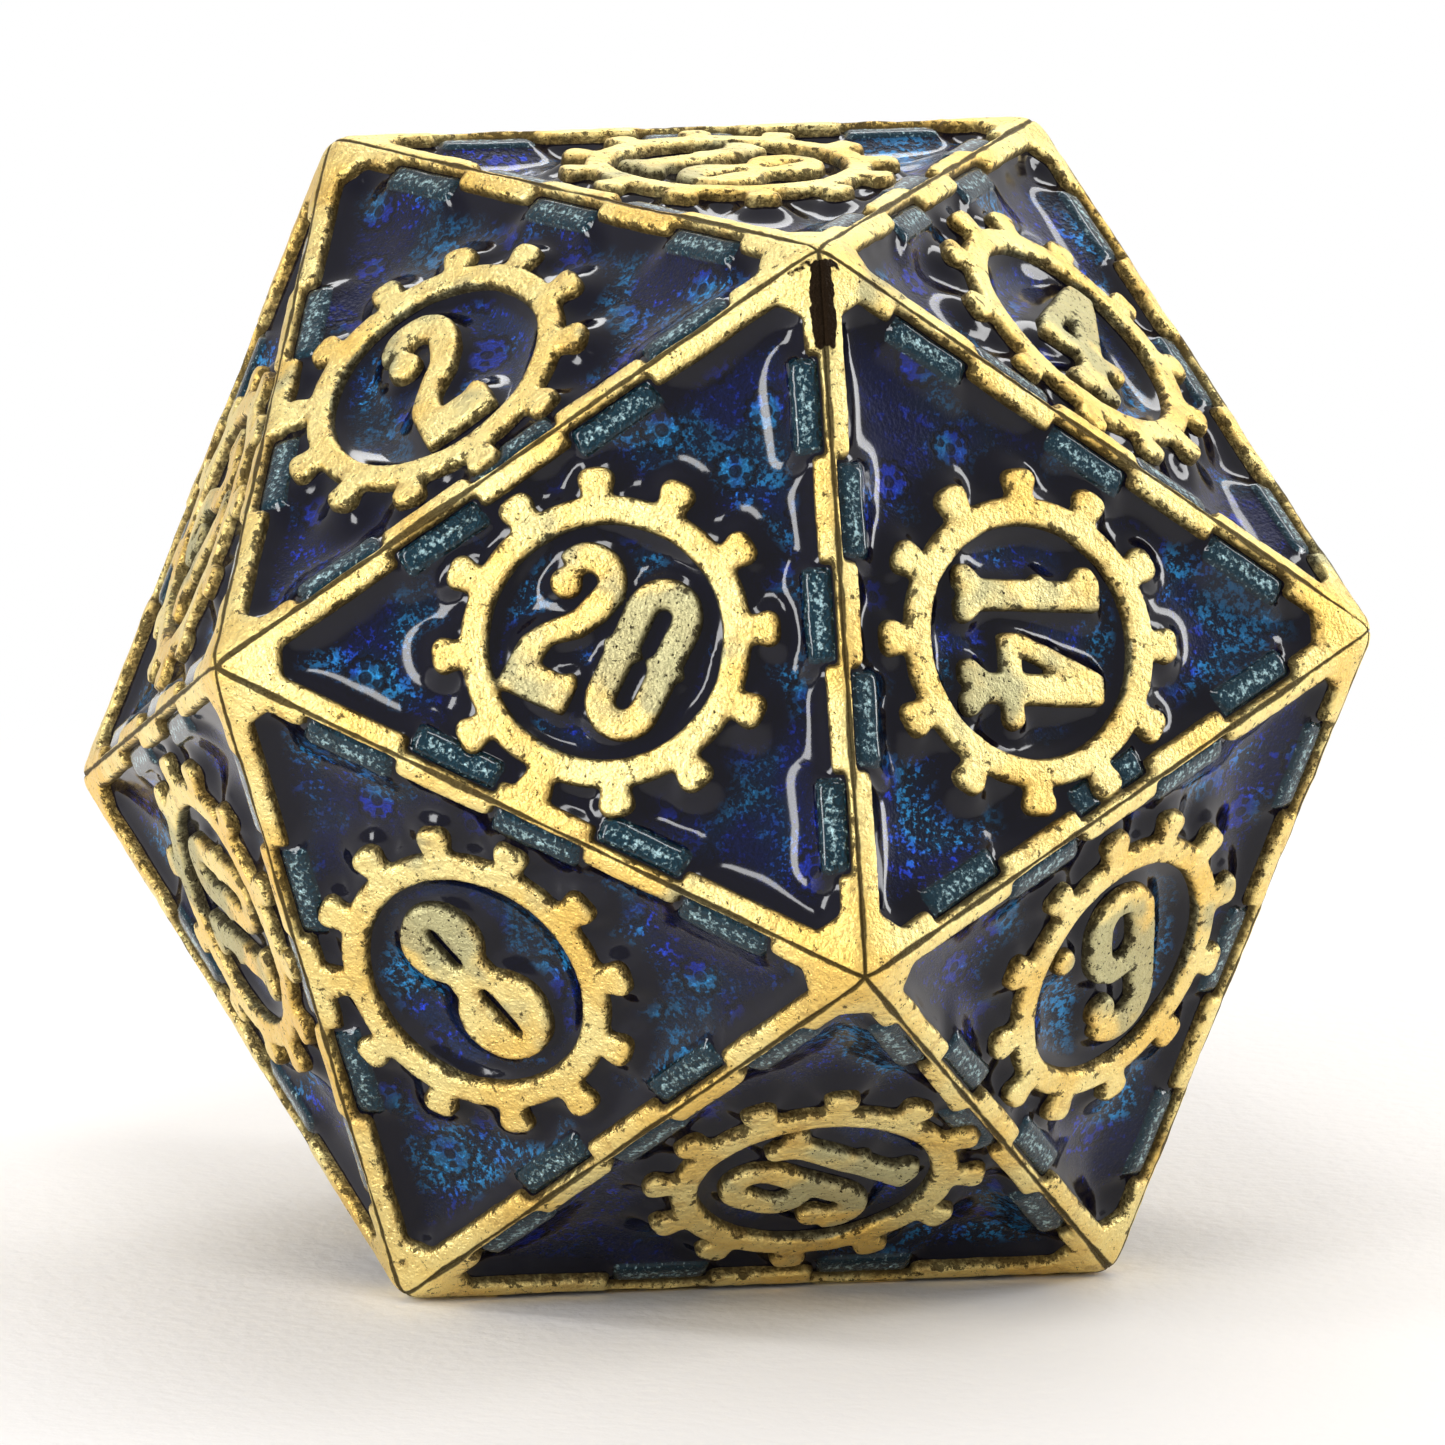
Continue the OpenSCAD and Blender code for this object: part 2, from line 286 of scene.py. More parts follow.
# ---------------------------------------------------------------- the flat mesh of one face
def flat_grid():
    """An even triangular grid over a face: its points and its triangles."""
    weights = []
    number = {}
    for i in range(GRID_STEPS + 1):
        for j in range(GRID_STEPS + 1 - i):
            number[i, j] = len(weights)
            weights.append((GRID_STEPS - i - j, i, j))
    triangles = []
    for i, j in number:
        if i + j < GRID_STEPS:
            triangles.append((number[i, j], number[i + 1, j], number[i, j + 1]))
        if i + j < GRID_STEPS - 1:
            triangles.append((number[i + 1, j], number[i + 1, j + 1], number[i, j + 1]))
    turn = np.radians([90, 210, 330])
    corners = CORNER_DIST * np.column_stack([np.cos(turn), np.sin(turn)])
    return np.array(weights) @ corners / GRID_STEPS, np.array(triangles)


def cut_sides(xy, triangles, where):
    """Cuts sides of triangles in two. where is given the two ends of every side, and tells how
    far along it the cut lies, or nan for a side that stays whole."""
    ends = np.sort(triangles[:, [[0, 1], [1, 2], [2, 0]]], axis=2)
    kinds, which = np.unique(ends[..., 0] * len(xy) + ends[..., 1], return_inverse=True)
    a, b = kinds // len(xy), kinds % len(xy)
    share = where(a, b)
    cut = ~np.isnan(share)
    number = np.full(len(kinds), -1)
    number[cut] = len(xy) + np.arange(cut.sum())
    middle = number[which.reshape(-1, 3)]
    share = share[cut, None]
    xy = np.vstack([xy, xy[a[cut]] * (1 - share) + xy[b[cut]] * share])

    def turned(rows, first):
        order = (first[:, None] + np.arange(3)) % 3
        return (np.take_along_axis(triangles[rows], order, axis=1).T,
                np.take_along_axis(middle[rows], order, axis=1).T)

    is_cut = middle >= 0
    count = is_cut.sum(axis=1)
    parts = [triangles[count == 0]]

    def add(*corners):
        parts.append(np.column_stack(corners))

    rows = np.flatnonzero(count == 1)
    (p, q, r), (m, _, _) = turned(rows, is_cut[rows].argmax(axis=1))
    add(p, m, r)
    add(m, q, r)
    rows = np.flatnonzero(count == 2)
    (p, q, r), (m, n, _) = turned(rows, is_cut[rows].argmin(axis=1) + 1)
    add(m, q, n)
    short = np.linalg.norm(xy[p] - xy[n], axis=1) < np.linalg.norm(xy[m] - xy[r], axis=1)
    add(p, m, np.where(short, n, r))
    add(np.where(short, p, m), n, r)
    rows = np.flatnonzero(count == 3)
    (p, q, r), (m, n, o) = turned(rows, np.zeros(len(rows), int))
    add(p, m, o)
    add(m, q, n)
    add(o, n, r)
    add(m, n, o)
    return xy, np.vstack(parts)


def cut_along(xy, triangles, lines, level):
    """Makes the mesh follow the line at a given distance from the outlines. Points on the sides
    of the face stay as they are, so that neighbouring faces still meet there."""
    off = lines.distance(xy) - level
    on_side = Sides().distance(xy) < SAME
    near = (np.abs(off) < CLOSE) & ~on_side
    xy = xy - lines.slope(xy) * np.where(near, off, 0)[:, None]
    off[near] = 0

    def where(a, b):
        crossed = (off[a] * off[b] < 0) & ~(on_side[a] & on_side[b])
        return np.where(crossed, off[a] / np.where(crossed, off[a] - off[b], 1), np.nan)

    old = len(xy)
    xy, triangles = cut_sides(xy, triangles, where)
    new = xy[old:]
    xy[old:] = new - lines.slope(new) * (lines.distance(new) - level)[:, None]
    return xy, triangles


# ---------------------------------------------------------------- relief of one face
def rounded(xy, height):
    """Places points at a height above the face, with the ridges and points of the die rounded."""
    shrink = (INRADIUS - RIDGE_R) / INRADIUS
    nearest = xy.copy()
    for _ in range(3):  # repeated, as a point near a corner is beyond two sides at once
        for normal in side_normals():
            past = np.maximum(nearest @ normal - SIDE_DIST * shrink, 0)
            nearest = nearest - past[:, None] * normal
    away = np.column_stack([xy - nearest, np.full(len(xy), RIDGE_R)])
    away /= np.linalg.norm(away, axis=1)[:, None]
    seat = np.column_stack([nearest, np.full(len(xy), -RIDGE_R)])
    return seat + away * (RIDGE_R + height)[:, None]


def raised(outward, top, foot, lip):
    """Height of a raised shape with a rounded rim and a leaning wall."""
    t = np.clip(1 + outward / lip, 0, 1)
    crown = top - lip * (1 - np.sqrt(1 - t * t))
    wall = np.clip(outward / DRAFT, 0, 1)
    return np.where(outward < 0, crown, (top - lip) * (1 - wall) + foot * wall)


class Relief:
    """The shape of one face: its flat mesh, and the heights of its metal and its enamel."""

    def __init__(self, face, cad, noise):
        self.face = face
        self.noise = noise

        def wobble(xy):
            place = np.column_stack([xy, np.zeros(len(xy))]) + face.middle / EDGE * 3
            coarse = np.column_stack([noise(place + shift, 22) for shift in (0, 5)])
            fine = np.column_stack([noise(place + shift, 60) for shift in (1, 7)])
            return WOBBLE * (0.6 * coarse + 0.4 * fine)

        (pockets, plates), levels = face_outlines(face, *cad, wobble)
        _, self.plate_depth, self.recess_depth, self.pocket_depth = levels
        xy, triangles = flat_grid()

        def where(a, b):
            return np.where(np.minimum(close[a], close[b]) < FINE_REACH, 0.5, np.nan)

        close = np.minimum(np.abs(pockets.distance(xy)), Sides().distance(xy))
        xy, triangles = cut_sides(xy, triangles, where)
        followed = (
            (pockets, 0), (pockets, -LIP * 0.4), (pockets, -LIP),
            (plates, 0), (plates, PLATE_LIP * 0.4),
            (Sides(), CREASE_W * 0.3), (Sides(), CREASE_W))
        for lines, level in followed:
            xy, triangles = cut_along(xy, triangles, lines, level)
        self.xy, self.triangles = xy, triangles
        self.metal = pockets.distance(xy)
        self.plate = -plates.distance(xy)
        self.ridge = Sides().distance(xy)
        self.foot = self.recess_depth + (self.pocket_depth - self.recess_depth) * smooth(
            *BORDER_STEP, self.ridge)
        self.plates = raised(self.plate, self.plate_depth, self.foot, PLATE_LIP)
        shore = np.maximum(np.minimum(pockets.grid, -plates.grid), 0)
        self.sag = pockets.read(softened(1 - np.exp(-shore / SAG_REACH), passes=24), xy)

    def world(self, height):
        return self.face.world(rounded(self.xy, height))

    def metal_height(self):
        """Flat tops with rounded rims, made slightly uneven, and the crease along the ridges."""
        height = np.maximum(raised(self.metal, 0.0, self.foot, LIP), self.plates)
        place = self.world(height) / EDGE
        swell = sum(size * (self.noise(place, scale) - 1) for size, scale in SWELLS)
        patchy = 0.75 + 0.25 * self.noise(place + 3, 9)
        t = np.clip(1 - self.ridge / CREASE_W, 0, 1)
        crease = CREASE * patchy * (1 - np.sqrt(1 - 0.98 * t * t))  # not quite sharp at its bottom
        return height + swell - crease

    def enamel_height(self):
        """A wavy pool that sags away from its walls, and the skin over the plates beside it."""
        sag = ENAMEL_DROP + ENAMEL_SAG * self.sag
        place = self.world(-sag) / EDGE
        wave = sum(size * self.noise(place, scale) for size, scale in WAVES)
        pool = wave * smooth(0, WAVE_REACH, self.metal) - sag
        skin = raised(self.plate, self.plate_depth + SKIN, self.pocket_depth, PLATE_LIP)
        blend = 0.002
        return blend * np.logaddexp(pool / blend, skin / blend)


# ---------------------------------------------------------------- pieces
def new_piece(name, places, triangles):
    mesh = bpy.data.meshes.new(name)
    mesh.vertices.add(len(places))
    mesh.vertices.foreach_set("co", places.ravel())
    mesh.loops.add(triangles.size)
    mesh.loops.foreach_set("vertex_index", triangles.ravel())
    mesh.polygons.add(len(triangles))
    mesh.polygons.foreach_set("loop_start", np.arange(0, triangles.size, 3))
    mesh.update(calc_edges=True)
    mesh.shade_smooth()
    piece = bpy.data.objects.new(name, mesh)
    bpy.context.collection.objects.link(piece)
    return piece


def store(piece, name, values):
    """Keeps one number, or three, per point for the materials to read."""
    kind, field = ("FLOAT", "value") if values.ndim == 1 else ("FLOAT_VECTOR", "vector")
    piece.data.attributes.new(name, kind, "POINT").data.foreach_set(field, values.ravel())


def finish_piece(piece, node, slot):
    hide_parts(node)
    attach(piece, "root")
    piece.data.materials.append(MATERIALS[slot])


def make_casting(reliefs, hubs):
    """The whole casting, with the points of neighbouring faces joined along the ridges."""
    places = np.vstack([relief.world(relief.metal_height()) for relief in reliefs])
    starts = np.cumsum([0] + [len(relief.xy) for relief in reliefs])
    triangles = np.vstack([relief.triangles + start for relief, start in zip(reliefs, starts)])
    flat = [relief.face.world(np.pad(relief.xy, ((0, 0), (0, 1)))) for relief in reliefs]
    flat = np.vstack(flat) / EDGE + GOLDEN  # shifted, so that no mesh point is halfway in rounding
    _, first, point = np.unique(
        np.round(flat, 6), axis=0, return_index=True, return_inverse=True)
    triangles = point.ravel()[triangles]
    whole = (triangles != np.roll(triangles, 1, axis=1)).all(axis=1)
    piece = new_piece("casting_gold", places[first], triangles[whole])
    for name in ("metal", "ridge"):
        values = np.concatenate([getattr(relief, name) for relief in reliefs])
        store(piece, name, values[first])
    digit = np.concatenate([
        np.linalg.norm(relief.xy - hub, axis=1) < DIGIT_R
        for relief, hub in zip(reliefs, hubs)])
    store(piece, "digit", digit[first].astype(float))
    finish_piece(piece, "die_casting", "gold_plate")


def make_pools(relief, hub, number):
    """The closed enamel pools of one face: glossy tops over bottoms that lie just in the metal."""
    top = relief.world(relief.enamel_height())
    bottom = relief.world(relief.plates - POOL_SINK)
    wet = (relief.metal[relief.triangles] > -CLOSE).all(axis=1)
    wet &= relief.metal[relief.triangles].max(axis=1) > CLOSE / 4
    in_hub = np.linalg.norm(relief.xy[relief.triangles].mean(axis=1) - hub, axis=1) < RING_MIDDLE_R
    for kind, chosen in (("field_enamel", wet & ~in_hub), ("hub_enamel", wet & in_hub)):
        used, triangles = np.unique(relief.triangles[chosen], return_inverse=True)
        triangles = triangles.reshape(-1, 3)
        a, b = open_sides(triangles).T
        count = len(used)
        skirt = [np.column_stack([b, a, a + count]), np.column_stack([b, a + count, b + count])]
        node = f"{kind}_{number:02d}"
        piece = new_piece(f"{node}_fill", np.vstack([top[used], bottom[used]]),
                          np.vstack([triangles, triangles[:, ::-1] + count, *skirt]))
        piece.data.set_sharp_from_angle(angle=SHARP_ANGLE)
        store(piece, "metal", np.tile(relief.metal[used], 2))
        store(piece, "plate", np.tile(relief.plate[used], 2))
        flat = np.column_stack([relief.xy[used] - hub, np.full(count, number)])
        store(piece, "flat", np.tile(flat, (2, 1)))
        finish_piece(piece, node, kind)


def middle_of(node):
    low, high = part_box(node)
    return (np.array(low) + np.array(high)) / 2


def number_of(face):
    """The number on a face, told by the field enamel node that lies on it."""
    return min(range(1, 21), key=lambda n: np.linalg.norm(
        middle_of(f"field_enamel_{n:02d}") - face.middle))


# ---------------------------------------------------------------- materials
class Value:
    """A number in a material. Sums with it add the nodes that work them out."""

    def __init__(self, tree, socket):
        self.tree = tree
        self.socket = socket

    def math(self, kind, *others):
        node = self.tree.nodes.new("ShaderNodeMath")
        node.operation = kind
        for entry, value in zip(node.inputs, (self, *others)):
            put(self.tree, entry, value)
        return Value(self.tree, node.outputs[0])

    def __add__(self, other):
        return self.math("ADD", other)

    def __sub__(self, other):
        return self.math("SUBTRACT", other)

    def __mul__(self, other):
        return self.math("MULTIPLY", other)

    def largest(self, other):
        return self.math("MAXIMUM", other)

    def ramp(self, low, high):
        """0 up to low, 1 from high on, and smooth between. It falls if low is above high."""
        node = self.tree.nodes.new("ShaderNodeMapRange")
        node.interpolation_type = "SMOOTHSTEP"
        put(self.tree, node.inputs["Value"], self)
        falls = low > high
        put(self.tree, node.inputs["From Min"], min(low, high))
        put(self.tree, node.inputs["From Max"], max(low, high))
        put(self.tree, node.inputs["To Min"], float(falls))
        put(self.tree, node.inputs["To Max"], float(not falls))
        return Value(self.tree, node.outputs["Result"])


def put(tree, entry, value):
    """Links a value or a node's output to an input, or sets the input to a plain number."""
    if isinstance(value, Value):
        tree.links.new(value.socket, entry)
    elif isinstance(value, bpy.types.NodeSocket):
        tree.links.new(value, entry)
    elif isinstance(value, tuple) and len(value) == 3 and entry.type == "RGBA":
        entry.default_value = (*value, 1)
    else:
        entry.default_value = value


COGS_PER_EDGE = 9
COG_TEETH = 10
COG_HOLES = 3

# Colours, as linear red, green and blue.
GOLD = (1.0, 0.84, 0.36)
DEEP_GOLD = (0.94, 0.64, 0.17)
RUBBED_GOLD = (0.55, 0.34, 0.10)
WORN_GOLD = (0.40, 0.41, 0.26)
# the dark colour below is dirt in pits, chips and one dent, and also painted shade on walls and in
# the ridge crease
DIRT_AND_SHADE = (0.022, 0.014, 0.008)
BLUE_GRAIN = (0.010, 0.044, 0.62)
TEAL_GRAIN = (0.024, 0.26, 0.60)
FIELD_BLUE = (0.001, 0.004, 0.034)
HUB_BLUE = (0.003, 0.014, 0.060)
DARK_TEAL = (0.001, 0.008, 0.025)
DEEP_ENAMEL = (0.0014, 0.0016, 0.009)
COG_LINE = (0.001, 0.002, 0.008)
DARK_STEEL = (0.004, 0.026, 0.042)
# bright steel is the plates' grain and also the painted highlight on the crest of each hinge plate
BRIGHT_STEEL = (0.36, 0.54, 0.58)
PAPER = (0.85, 0.83, 0.81)
WHITE = (1.0, 1.0, 1.0)


class Finish:
    """A material under construction. Its textures are scaled in features per edge of the die."""

    def __init__(self, name):
        self.material = bpy.data.materials.new(name)
        self.material.use_nodes = True
        self.tree = self.material.node_tree
        self.shader = self.tree.nodes["Principled BSDF"]
        place = self.tree.nodes.new("ShaderNodeTexCoord").outputs["Object"]
        self.place = self.node("ShaderNodeVectorMath", {"operation": "SCALE"},
                               Vector=place, Scale=1 / EDGE).outputs[0]

    def node(self, kind, settings=None, **inputs):
        node = self.tree.nodes.new(kind)
        for key, value in (settings or {}).items():
            setattr(node, key, value)
        for key, value in inputs.items():
            entry = int(key[-1]) if key[-1].isdigit() else key  # some inputs share one name
            put(self.tree, node.inputs[entry], value)
        return node

    def attribute(self, name):
        node = self.node("ShaderNodeAttribute", {"attribute_name": name})
        return Value(self.tree, node.outputs["Fac"])

    def noise(self, scale, detail=2.0, rough=0.5):
        node = self.node("ShaderNodeTexNoise", Vector=self.place, Scale=scale, Detail=detail,
                         Roughness=rough)
        return Value(self.tree, node.outputs["Fac"])

    def cells(self, scale, **settings):
        node = self.node("ShaderNodeTexVoronoi", settings, Vector=self.place, Scale=scale)
        return Value(self.tree, node.outputs["Distance"])

    def cogs(self):
        """Small cogs that lie here and there on the floor of a pool: their faces, and the dark
        lines around them and holes in them. Each square of a grid has room for one, and the sizes
        here are shares of the square."""
        spot = self.node("ShaderNodeAttribute", {"attribute_name": "flat"}).outputs["Vector"]
        spot = self.node("ShaderNodeVectorMath", {"operation": "SCALE"},
                         Vector=spot, Scale=COGS_PER_EDGE).outputs[0]
        cell = self.node("ShaderNodeVectorMath", {"operation": "FLOOR"}, Vector=spot).outputs[0]
        chance = self.node("ShaderNodeTexWhiteNoise", Vector=cell)
        size = Value(self.tree, chance.outputs["Value"])
        stray = self.node("ShaderNodeVectorMath", {"operation": "MULTIPLY_ADD"},
                          Vector=chance.outputs["Color"], Vector_1=(0.3,) * 3,
                          Vector_2=(0.35,) * 3).outputs[0]
        off = self.node("ShaderNodeVectorMath", {"operation": "FRACTION"}, Vector=spot).outputs[0]
        off = self.node("ShaderNodeVectorMath", {"operation": "SUBTRACT"},
                        Vector=off, Vector_1=stray).outputs[0]
        apart = self.node("ShaderNodeSeparateXYZ", Vector=off)
        x, y = (Value(self.tree, apart.outputs[name]) for name in "XY")
        away = (x * x + y * y).math("SQRT")
        turn = y.math("ARCTAN2", x)
        present = size.ramp(0.25, 0.30)  # about a quarter of the squares stay empty
        teeth = (turn * COG_TEETH).math("COSINE").ramp(-0.4, 0.4) * 0.035
        rim = away - teeth - (size * 0.14 + 0.16)
        face = rim.ramp(0.01, -0.01) * present
        line = rim.math("ABSOLUTE").ramp(0.045, 0.025) * present
        bore = away.ramp(0.085, 0.065)
        around = (turn * COG_HOLES).math("COSINE").ramp(0.5, 0.7)
        holes = around * (away - 0.15).math("ABSOLUTE").ramp(0.05, 0.035)
        return face, line.largest(face * bore).largest(face * holes)

    def near(self, spot, inner, outer):
        """1 within the inner distance of a place in the frame and 0 beyond the outer one."""
        node = self.node("ShaderNodeVectorMath", {"operation": "DISTANCE"},
                         Vector=self.place, Vector_1=tuple(spot / EDGE))
        return Value(self.tree, node.outputs["Value"]).ramp(outer, inner)

    def mix(self, share, a, b):
        node = self.node("ShaderNodeMix", {"data_type": "RGBA"})
        for key, value in (("Factor", share), (6, a), (7, b)):  # 6 and 7 are the colours
            put(self.tree, node.inputs[key], value)
        return node.outputs[2]

    def bump(self, height, depth, strength=1.0):
        """A bumped normal. The height is in units of depth, and depth is in edges."""
        node = self.node("ShaderNodeBump", Strength=strength, Distance=depth * EDGE, Height=height)
        return node.outputs["Normal"]

    def finish(self, **inputs):
        for key, value in inputs.items():
            put(self.tree, self.shader.inputs[key.replace("_", " ")], value)
        return self.material


def gold_plate():
    """Bright cast gold: uneven plating, dull worn patches, pits and chips, dirt along the ridge by
    one dent, and painted shade on the walls of the raised shapes and in the crease along the
    ridges."""
    f = Finish("gold_plate")
    points = die_points()
    top_front, low_front = points[0], points[6]
    dent = top_front + 0.08 * (low_front - top_front)  # near the upper end of the front ridge
    metal, ridge, digit = (f.attribute(name) for name in ("metal", "ridge", "digit"))
    tone = f.noise(7, detail=4)
    grain = f.noise(95, detail=4, rough=0.6)
    fine = f.noise(260, detail=2)
    worn = (f.noise(5, detail=3, rough=0.6) + digit * 0.14).ramp(0.60, 0.70)
    edge = metal.ramp(-0.012, 0.002)
    pits = (f.noise(150, detail=3, rough=0.7) - worn * 0.04).ramp(0.355, 0.30)
    chips = (f.noise(55, detail=5, rough=0.75) - edge * 0.13).ramp(0.40, 0.345)
    rubbed = (f.noise(30, detail=5, rough=0.75) - edge * 0.10).ramp(0.46, 0.34)
    wander = (f.noise(9, detail=4, rough=0.65) - 0.5) * 0.016
    # painted shade: a dark line along the crease of every ridge, where the groove lies in shadow
    crease = (ridge + wander).ramp(0.0060, 0.0030)
    smear = (ridge + wander).ramp(0.026, 0.006) * f.near(dent, 0.035, 0.085)
    smear = (smear + (f.noise(45, detail=3) - 0.5) * 1.2).ramp(0.38, 0.50)
    # painted shade: the rounded rims and walls of every raised shape are darkened where the enamel
    # meets the metal
    wall = (metal + (grain - 0.5) * 0.006).ramp(-0.0035, 0.0015)
    # pits, chips and the smear are dirt; the crease and wall parts are painted shade
    dirt_and_shade = pits.largest(chips * 0.85).largest(crease * 0.9).largest(wall * 0.9).largest(smear)
    colour = f.mix(tone.ramp(0.35, 0.7), GOLD, DEEP_GOLD)
    colour = f.mix(rubbed * 0.5, colour, RUBBED_GOLD)
    colour = f.mix(worn * 0.75, colour, WORN_GOLD)
    colour = f.mix(dirt_and_shade, colour, DIRT_AND_SHADE)
    rough = grain * 0.30 + worn * 0.12 + dirt_and_shade * 0.25 + 0.20
    normal = f.bump(grain * 1.5 + fine * 0.7 - pits, 0.0034, 0.9)
    return f.finish(Base_Color=colour, Metallic=1.0, Roughness=rough, Normal=normal)


def enamel(name, dark_to, bright_from, blue):
    """Glossy translucent blue over a worked floor. It is black up to the first distance from the
    metal and bright beyond the second."""
    f = Finish(name)
    metal, plate = f.attribute("metal"), f.attribute("plate")
    floor = f.noise(150, detail=3, rough=0.65)
    grit = f.cells(190, feature="SMOOTH_F1")
    clear = (metal + (f.noise(11, detail=3) - 0.5) * 0.05).ramp(dark_to, bright_from)
    on_plate = plate.ramp(0.0012, -0.0012)
    area = f.noise(7, detail=3)
    cogs, holes = f.cogs()
    grains = floor * 0.6 + f.noise(52, detail=2) * 0.4
    spark = (grains + (area - 0.5) * 0.30).ramp(0.52, 0.60)
    worked = f.noise(4, detail=2).ramp(0.44, 0.58)
    colour = f.mix(area.ramp(0.42, 0.58), blue, DARK_TEAL)
    bright = f.mix(area.ramp(0.46, 0.58), BLUE_GRAIN, TEAL_GRAIN)
    colour = f.mix(spark * (worked * 0.75 + 0.25), colour, bright)
    colour = f.mix(cogs * (spark * 0.3 + 0.4), colour, bright)
    colour = f.mix(holes * 0.9, colour, COG_LINE)
    colour = f.mix(clear, DEEP_ENAMEL, colour)
    # painted highlight: the crest along the middle of each hinge plate is pushed towards bright
    # steel, as if lit
    painted_crest_highlight = plate.ramp(-0.008, -0.018) * 0.13
    steel = f.mix((floor + painted_crest_highlight).ramp(0.56, 0.76), DARK_STEEL, BRIGHT_STEEL)
    colour = f.mix(on_plate, colour, steel)
    under = f.bump(floor + grit * 0.6 + cogs - holes, 0.006, 0.8)
    return f.finish(
        Base_Color=colour, Metallic=clear.largest(on_plate) * 0.85, Roughness=0.38, Normal=under,
        Specular_IOR_Level=0.0, Coat_Weight=1.0, Coat_Roughness=0.09, Coat_IOR=1.38)


MATERIALS = {
    "gold_plate": gold_plate(),
    "field_enamel": enamel("field_enamel", dark_to=0.018, bright_from=0.056, blue=FIELD_BLUE),
    "hub_enamel": enamel("hub_enamel", dark_to=0.010, bright_from=0.030, blue=HUB_BLUE),
}

# ---------------------------------------------------------------- the die
faces = die_faces()
cad = cad_triangles("die_casting")
noise = Noise(seed=11)
reliefs = [Relief(face, cad, noise) for face in faces]
numbers = [number_of(face) for face in faces]
hubs = [face.flat(middle_of(f"hub_enamel_{n:02d}"))[:2] for face, n in zip(faces, numbers)]
make_casting(reliefs, hubs)
for relief, hub, number in zip(reliefs, hubs, numbers):
    make_pools(relief, hub, number)

# ---------------------------------------------------------------- floor and backdrop
FLOOR_R = 0.6  # metres
FADE = (0.9, 3.5)  # the floor fades to white between these distances, in edges


def camera_sees(tree, shader, seen):
    """Shows the camera one shader, and lights the scene with another."""
    path = tree.nodes.new("ShaderNodeLightPath")
    mix = tree.nodes.new("ShaderNodeMixShader")
    tree.links.new(path.outputs["Is Camera Ray"], mix.inputs[0])
    tree.links.new(shader, mix.inputs[1])
    tree.links.new(seen, mix.inputs[2])
    return mix.outputs[0]


def paper():
    """A matt floor with a faint grain that fades to white away from the die."""
    f = Finish("paper")
    grain = f.bump(f.noise(40, detail=5), 0.01, 0.25)
    matt = f.finish(Base_Color=PAPER, Roughness=0.7, Normal=grain)
    far = f.node("ShaderNodeVectorMath", {"operation": "LENGTH"}, Vector=f.place).outputs["Value"]
    far = Value(f.tree, far).ramp(*FADE)
    white = f.node("ShaderNodeEmission", Color=WHITE, Strength=1.0).outputs[0]
    fade = f.node("ShaderNodeMixShader", Fac=far)
    f.tree.links.new(f.shader.outputs[0], fade.inputs[1])
    f.tree.links.new(white, fade.inputs[2])
    out = f.tree.nodes["Material Output"].inputs["Surface"]
    f.tree.links.new(camera_sees(f.tree, f.shader.outputs[0], fade.outputs[0]), out)
    return matt


corners = [(x * FLOOR_R, y * FLOOR_R, 0) for x, y in ((-1, -1), (1, -1), (1, 1), (-1, 1))]
floor = new_piece("floor", np.array(corners, float), np.array([(0, 1, 2), (0, 2, 3)]))
floor.data.materials.append(paper())

ROOM_LIGHT = 0.55
BEHIND_LIGHT = 0.2  # how much brighter the room is behind the die

world = bpy.data.worlds.new("studio")
bpy.context.scene.world = world
world.use_nodes = True
room = world.node_tree.nodes["Background"]
put(world.node_tree, room.inputs["Color"], (1.0, 0.97, 0.95))
way = world.node_tree.nodes.new("ShaderNodeSeparateXYZ")
toward = world.node_tree.nodes.new("ShaderNodeTexCoord").outputs["Generated"]
world.node_tree.links.new(toward, way.inputs[0])
behind = Value(world.node_tree, way.outputs["Y"]).ramp(-0.4, 0.6)
put(world.node_tree, room.inputs["Strength"], behind * BEHIND_LIGHT + ROOM_LIGHT)
white = world.node_tree.nodes.new("ShaderNodeBackground")
put(world.node_tree, white.inputs["Color"], WHITE)
world.node_tree.links.new(
    camera_sees(world.node_tree, room.outputs[0], white.outputs[0]),
    world.node_tree.nodes["World Output"].inputs["Surface"])


# ---------------------------------------------------------------- lights and camera
def aim(thing, place, target):
    thing.location = place
    thing.rotation_mode = "QUATERNION"
    thing.rotation_quaternion = (Vector(target) - Vector(place)).to_track_quat("-Z", "Y")


LIGHT_DISTANCE = 0.16  # metres


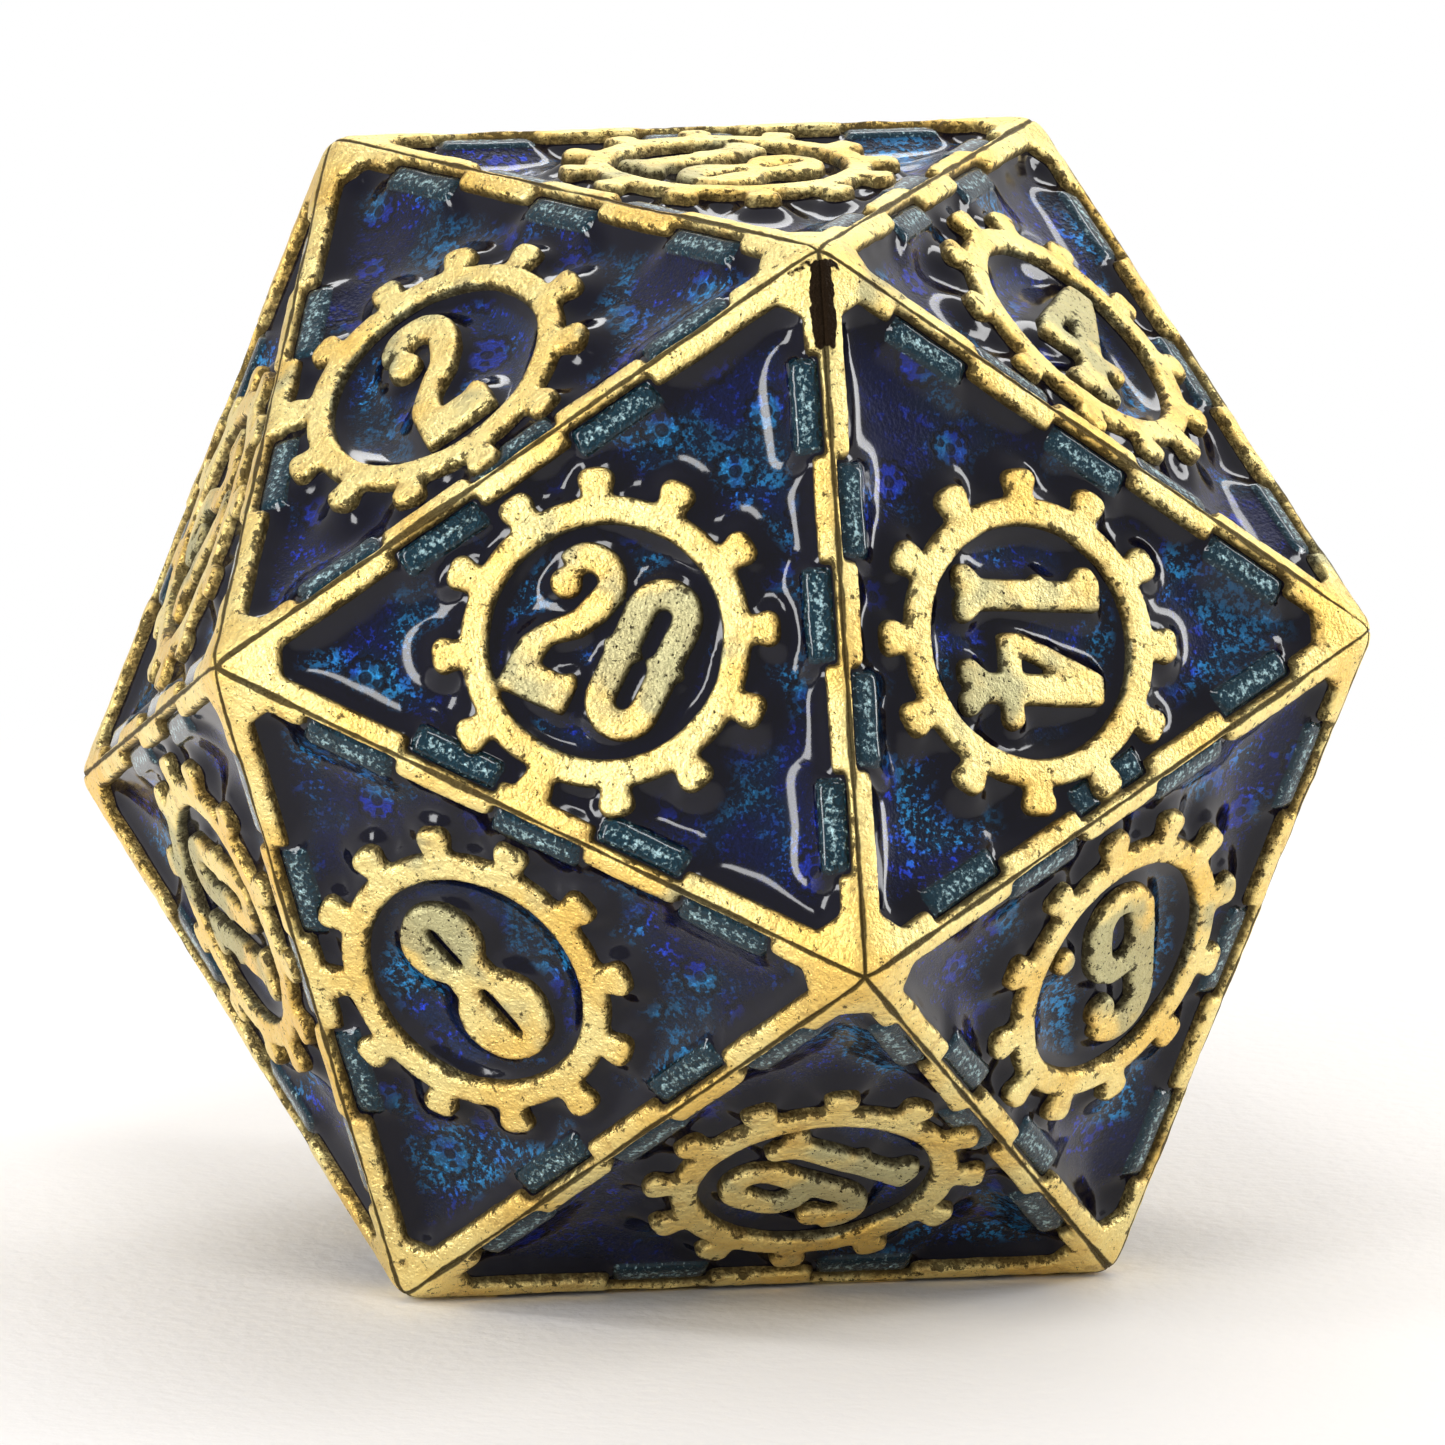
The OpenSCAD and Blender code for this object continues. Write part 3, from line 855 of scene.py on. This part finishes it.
def softbox(name, azimuth, elevation, size, power):
    """A light that faces the die. An azimuth of 0 is in front, and it grows to the right."""
    light = bpy.data.lights.new(name, "AREA")
    light.shape = "RECTANGLE"
    light.size, light.size_y = size
    light.energy = power
    lamp = bpy.data.objects.new(name, light)
    bpy.context.collection.objects.link(lamp)
    az, el = np.radians((azimuth, elevation))
    centre = Vector((0, 0, SPAN / 2))
    out = Vector((np.sin(az) * np.cos(el), -np.cos(az) * np.cos(el), np.sin(el)))
    aim(lamp, centre + LIGHT_DISTANCE * out, centre)


softbox("left", azimuth=-66, elevation=20, size=(0.030, 0.10), power=0.15)
softbox("right", azimuth=92, elevation=20, size=(0.030, 0.10), power=0.11)
softbox("front", azimuth=-18, elevation=60, size=(0.05, 0.022), power=0.05)
softbox("behind", azimuth=155, elevation=46, size=(0.16, 0.03), power=0.11)

VIEW_AZIMUTH, VIEW_ELEVATION, VIEW_ROLL = np.radians((-12.4, 12.3, 0.77))
VIEW_DISTANCE = 33.3 * EDGE
VIEW_SHIFT = (0.0022, -0.0253)  # of the middle of the frame from the middle of the die, in edges
FRAME_WIDTH = 1.9808  # in edges, at the middle of the die

camera_data = bpy.data.cameras.new("camera")
camera_data.lens = camera_data.sensor_width * VIEW_DISTANCE / EDGE / FRAME_WIDTH
camera_data.clip_start = 0.01
camera = bpy.data.objects.new("camera", camera_data)
bpy.context.collection.objects.link(camera)
back = Vector((
    np.sin(VIEW_AZIMUTH) * np.cos(VIEW_ELEVATION),
    -np.cos(VIEW_AZIMUTH) * np.cos(VIEW_ELEVATION),
    np.sin(VIEW_ELEVATION)))
turn = (-back).to_track_quat("-Z", "Y").to_matrix()
shift = EDGE * (turn.col[0] * VIEW_SHIFT[0] + turn.col[1] * VIEW_SHIFT[1])
camera.location = Vector((0, 0, SPAN / 2)) + back * VIEW_DISTANCE + shift
camera.rotation_mode = "QUATERNION"
camera.rotation_quaternion = (turn @ Matrix.Rotation(VIEW_ROLL, 3, "Z")).to_quaternion()
bpy.context.scene.camera = camera
bpy.context.scene.view_settings.view_transform = "Standard"
